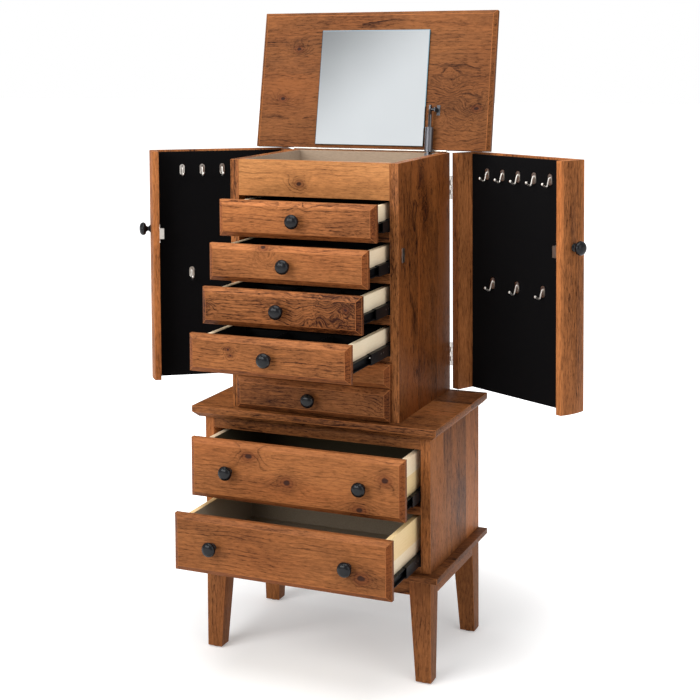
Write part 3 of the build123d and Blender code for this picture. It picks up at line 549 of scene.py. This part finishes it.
# ---------------------------------------------------------------- doors
# Each door is a walnut panel between two deep stiles, hinged at the cabinet's rear edge.
# Its inside is lined with black velvet and carries eight nickel hooks and a magnetic catch.
velvet = speckled("black_velvet", (0.0034, 0.0032, 0.0036), 0.95, grain=1100.0, depth=0.5, specular=0.05,
                  sheen=0.015)
DOORS = (("right", 1, 61.4), ("left", -1, 55.5))    # name, side and opening angle
DOOR_AXIS = (0.2015, 0.176)                         # hinge pins, from the middle plane and behind the centre
DOOR_KNOB = (0.3467, 0.0365, 0.934)                 # along the door, out of it and above the floor


def door_lines(side, angle):
    """The ways along and out of an open door, and its lower rear inner corner, brought down to the floor."""
    along = Vector((side * sin(radians(angle)), -cos(radians(angle)), 0.0))
    outward = Vector((side * cos(radians(angle)), sin(radians(angle)), 0.0))
    pins = Vector((side * DOOR_AXIS[0], DOOR_AXIS[1], 0.0))
    return along, outward, pins + along * 0.0035 + outward * 0.0015


for word, side, angle in DOORS:
    along, outward, corner = door_lines(side, angle)
    frame_node = f"{word}_door_frame"
    remade(frame_node, (walnut(f"{word}_door", AXIS_Z, outward, 97.3 + side, middle(frame_node), 1.02,
                               stave=0.115,
                               wander=0.03), edge_wear_and_highlight), BOARD_EASE)
    finish(f"{word}_door_lining", velvet)
    remade(f"{word}_door_metalwork", (nickel,))
    knob_place = corner + along * DOOR_KNOB[0] + outward * DOOR_KNOB[1] + AXIS_Z * DOOR_KNOB[2]
    turn_knob(remade(f"{word}_door_knob", (black_knob,)), knob_place, along)
remade("cabinet_hardware", (nickel,))

# ---------------------------------------------------------------- screws
# Small pan-head screws hold the hook plates, the hinge leaves, the strikes and the slides.


def screw_tree():
    """Screw heads with a cross recess on every point, turned to face one way."""
    g = bpy.data.node_groups.new("screw_heads", "GeometryNodeTree")
    for key, kind in (("Geometry", "Geometry"), ("Radius", "Float"), ("Height", "Float"), ("Turn", "Vector"),
                      ("Material", "Material")):
        g.interface.new_socket(name=key, in_out="INPUT", socket_type=f"NodeSocket{kind}")
    g.interface.new_socket(name="Geometry", in_out="OUTPUT", socket_type="NodeSocketGeometry")
    i, o = g.nodes.new("NodeGroupInput").outputs, g.nodes.new("NodeGroupOutput").inputs
    head = g.nodes.new("GeometryNodeMeshCone")
    fill(g, head, {"Vertices": 20, "Radius Top": sums(g, "MULTIPLY", i["Radius"], 0.72),
                   "Radius Bottom": i["Radius"], "Depth": i["Height"]})
    cuts = []
    for x, y in ((1.1, 0.2), (0.2, 1.1)):
        size = g.nodes.new("ShaderNodeCombineXYZ")
        fill(g, size, {"X": sums(g, "MULTIPLY", i["Radius"], x), "Y": sums(g, "MULTIPLY", i["Radius"], y),
                       "Z": i["Height"]})
        bar = g.nodes.new("GeometryNodeMeshCube")
        g.links.new(size.outputs[0], bar.inputs["Size"])
        rise = g.nodes.new("ShaderNodeCombineXYZ")
        g.links.new(i["Height"], rise.inputs["Z"])
        lift = g.nodes.new("GeometryNodeTransform")
        g.links.new(bar.outputs[0], lift.inputs["Geometry"])
        g.links.new(rise.outputs[0], lift.inputs["Translation"])
        cuts.append(lift.outputs[0])
    cut = g.nodes.new("GeometryNodeMeshBoolean")
    cut.operation = "DIFFERENCE"
    g.links.new(head.outputs["Mesh"], cut.inputs["Mesh 1"])
    for c in cuts:
        g.links.new(c, cut.inputs["Mesh 2"])
    stand = g.nodes.new("GeometryNodeInstanceOnPoints")
    g.links.new(i["Geometry"], stand.inputs["Points"])
    g.links.new(cut.outputs[0], stand.inputs["Instance"])
    g.links.new(i["Turn"], stand.inputs["Rotation"])
    whole = g.nodes.new("GeometryNodeRealizeInstances")
    g.links.new(stand.outputs[0], whole.inputs[0])
    paint = g.nodes.new("GeometryNodeSetMaterial")
    g.links.new(whole.outputs[0], paint.inputs[0])
    g.links.new(i["Material"], paint.inputs["Material"])
    g.links.new(paint.outputs[0], o["Geometry"])
    return g


screws = screw_tree()
dark_screw = speckled("dark_screw", (0.22, 0.21, 0.20), 0.3, metallic=1.0)


def screw_row(name, body, points, facing, radius, height, material):
    """Screw heads at the points, made into one mesh that moves with the body."""
    mesh = bpy.data.meshes.new(f"{name}_points")
    mesh.from_pydata([tuple(p) for p in points], [], [])
    seed = bpy.data.objects.new(f"{name}_points", mesh)
    bpy.context.collection.objects.link(seed)
    heads = seed.modifiers.new("heads", "NODES")
    heads.node_group = screws
    turn = Vector(facing).to_track_quat("Z", "Y").to_euler()
    values = {"Radius": radius, "Height": height, "Turn": tuple(turn), "Material": material}
    for item in screws.interface.items_tree:
        if item.in_out == "INPUT" and item.name in values:
            heads[item.identifier] = values[item.name]
    graph = bpy.context.evaluated_depsgraph_get()
    final = bpy.data.meshes.new_from_object(seed.evaluated_get(graph))
    bpy.data.objects.remove(seed)
    obj = bpy.data.objects.new(name, final)
    bpy.context.collection.objects.link(obj)
    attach(obj, body)


DOOR_HIGH = 1.124                                    # the doors' top edges
HOOK_ROWS = (((0.0700, 0.1192, 0.1684, 0.2176, 0.2668), DOOR_HIGH - 0.035),
             ((0.088, 0.166, 0.246), DOOR_HIGH - 0.288))    # places along the door, and the plates' tops
HOOK_SCREW_DROPS = (0.0042, 0.0215)                  # below a plate's top
HOOK_PLATE_FACE = 0.073 - 0.019 - 0.008 - 0.0016     # door depth less its panel, lining and hook plate
HINGE_SCREW_HEIGHTS = [low + z for low in (0.621, 1.015) for z in (0.011, 0.044)]
CASE_LEAF = (0.1905, 0.17375)                        # screws of the case's hinge leaves, seen from above
STRIKE_FACE, STRIKE_Y, STRIKE_Z = 0.2015, -0.146, 0.925
HINGE_HEAD, LOW_HEAD = 0.0026, 0.0008                # a head's radius and a proud head's height
SUNK = 0.0006                                        # heads that something closes over lie nearly flush
SHOWN = SUNK + 0.00005
for word, side, angle in DOORS:
    along, outward, corner = door_lines(side, angle)
    points = [corner + along * u + outward * HOOK_PLATE_FACE + AXIS_Z * (top - drop)
              for places, top in HOOK_ROWS for u in places for drop in HOOK_SCREW_DROPS]
    screw_row(f"{word}_hook_screws", f"{word}_door", points, -outward, 0.0019, LOW_HEAD, dark_screw)
    leaf = [corner - along * 0.00125 + outward * 0.0105 + AXIS_Z * z for z in HINGE_SCREW_HEIGHTS]
    screw_row(f"{word}_hinge_screws", f"{word}_door", leaf, -along, HINGE_HEAD, LOW_HEAD, dark_screw)
    case_leaf = [Vector((side * CASE_LEAF[0], CASE_LEAF[1], z)) for z in HINGE_SCREW_HEIGHTS]
    screw_row(f"{word}_case_hinge_screws", "case", case_leaf, AXIS_Y, HINGE_HEAD, LOW_HEAD, dark_screw)
    strike = [Vector((side * (STRIKE_FACE - SUNK), STRIKE_Y, STRIKE_Z))]
    screw_row(f"{word}_strike_screw", "case", strike, AXIS_X * side, HINGE_HEAD, SHOWN, nickel)
for name in fronts:
    edge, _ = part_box(f"{name}_box")
    outer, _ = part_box(f"{name}_slide_middles")
    for word, side in (("right", 1), ("left", -1)):
        on_box = [Vector((side * (abs(outer[0]) - 0.003), edge[1] + back, outer[2] + 0.0157))
                  for back in (0.113, 0.136)]
        screw_row(f"{name}_{word}_slide_screws", name, on_box, AXIS_X * side, 0.0021, 0.0007, nickel)
        on_rail = [Vector((side * (abs(outer[0]) - SUNK), outer[1] + back, outer[2] + 0.0137))
                   for back in (0.058, 0.072)]
        screw_row(f"{name}_{word}_slide_rivets", f"{name}_slide_middles", on_rail, AXIS_X * side, 0.0024,
                  SHOWN, dark_screw)

# ---------------------------------------------------------------- studio
# A pale floor and sky, a broad lamp in front on the left, one overhead and a weak one on the right.
floor_mesh = bpy.data.meshes.new("floor")
floor_mesh.from_pydata([(-30, -30, 0), (30, -30, 0), (30, 30, 0), (-30, 30, 0)], [], [(0, 1, 2, 3)])
floor = bpy.data.objects.new("floor", floor_mesh)
bpy.context.collection.objects.link(floor)
pale, tree, skin = new_material("pale_floor")
fill(tree, skin, {"Base Color": (0.86, 0.86, 0.86), "Roughness": 0.8, "Specular IOR Level": 0.1,
                  "Emission Color": (1, 1, 1)})
paths = tree.nodes.new("ShaderNodeLightPath").outputs
seen = sums(tree, "MAXIMUM", paths["Is Camera Ray"], paths["Is Glossy Ray"])
glow = smooth_range(tree, vectors(tree, "LENGTH", object_place(tree)), 0.30, 0.95, 0.24, 1.0)
tree.links.new(sums(tree, "MULTIPLY", seen, glow), skin.inputs["Emission Strength"])
floor_mesh.materials.append(pale)

world = bpy.data.worlds.new("studio")
bpy.context.scene.world = world
world.use_nodes = True
tree = world.node_tree
back = tree.nodes["Background"]
back.inputs["Color"].default_value = (1, 1, 1, 1)
paths = tree.nodes.new("ShaderNodeLightPath").outputs
glossy = sums(tree, "MAXIMUM", paths["Is Glossy Ray"], paths["Is Transmission Ray"])
strength = sums(tree, "MULTIPLY_ADD", glossy, 0.38, 0.34)
strength = sums(tree, "ADD", strength, paths["Is Camera Ray"], clamp=True)
tree.links.new(strength, back.inputs["Strength"])

# a shaded card that only the mirror and the metal see, where the room's far wall would be
card_mesh = bpy.data.meshes.new("wall_card")
card_mesh.from_pydata([(-1.75, -2.5, 1.65), (-0.5, -2.5, 1.65), (-0.5, -2.5, 2.9), (-1.75, -2.5, 2.9)], [],
                      [(0, 1, 2, 3)])
card = bpy.data.objects.new("wall_card", card_mesh)
bpy.context.collection.objects.link(card)
grey, tree, skin = new_material("wall_grey")
fill(tree, skin, {"Base Color": (0, 0, 0), "Emission Color": (0.96, 0.98, 1.0), "Specular IOR Level": 0.0})
slant = vectors(tree, "DOT_PRODUCT", object_place(tree), (-0.7, 0.0, 0.7))
tree.links.new(smooth_range(tree, slant, 2.28, 2.82, 0.86, 0.34), skin.inputs["Emission Strength"])
card_mesh.materials.append(grey)
card.visible_camera = card.visible_diffuse = card.visible_shadow = False


def lamp(name, place, target, size, watts):
    data = bpy.data.lights.new(name, "AREA")
    data.shape, data.size, data.size_y, data.energy = "RECTANGLE", size[0], size[1], watts
    obj = bpy.data.objects.new(name, data)
    obj.location = place
    obj.rotation_euler = (Vector(target) - Vector(place)).to_track_quat("-Z", "Y").to_euler()
    bpy.context.collection.objects.link(obj)


lamp("key", (-1.9, -4.0, 2.5), (0, 0, 0.8), (3.2, 2.6), 172)
lamp("overhead", (0.1, -0.7, 3.4), (0, 0, 0.6), (2.6, 2.6), 70)
lamp("fill", (3.2, -1.6, 1.8), (0, 0, 0.7), (2.4, 2.4), 30)

PICTURE, SENSOR = 700, 36                            # pixels and millimetres across
FOCAL, AXIS_AT = 1479.061, (302.839, 137.237)        # in pixels
yaw, pitch, roll = radians(24.054), radians(3.558), radians(-0.437)
look = Vector((-sin(yaw) * cos(pitch), cos(yaw) * cos(pitch), -sin(pitch)))
right = Vector((cos(yaw), sin(yaw), 0))
up = right.cross(look)
rolled_right = right * cos(roll) + up * sin(roll)
rolled_up = rolled_right.cross(look)
camera = bpy.data.objects.new("camera", bpy.data.cameras.new("camera"))
camera.matrix_world = Matrix((rolled_right, rolled_up, -look)).transposed().to_4x4()
camera.location = (1.292065, -3.116236, 1.377548)
camera.data.lens = FOCAL * SENSOR / PICTURE
camera.data.sensor_width = SENSOR
camera.data.shift_x = (PICTURE / 2 - AXIS_AT[0]) / PICTURE
camera.data.shift_y = (AXIS_AT[1] - PICTURE / 2) / PICTURE
camera.data.clip_end = 100
bpy.context.collection.objects.link(camera)
bpy.context.scene.camera = camera
bpy.context.scene.view_settings.view_transform = "Standard"
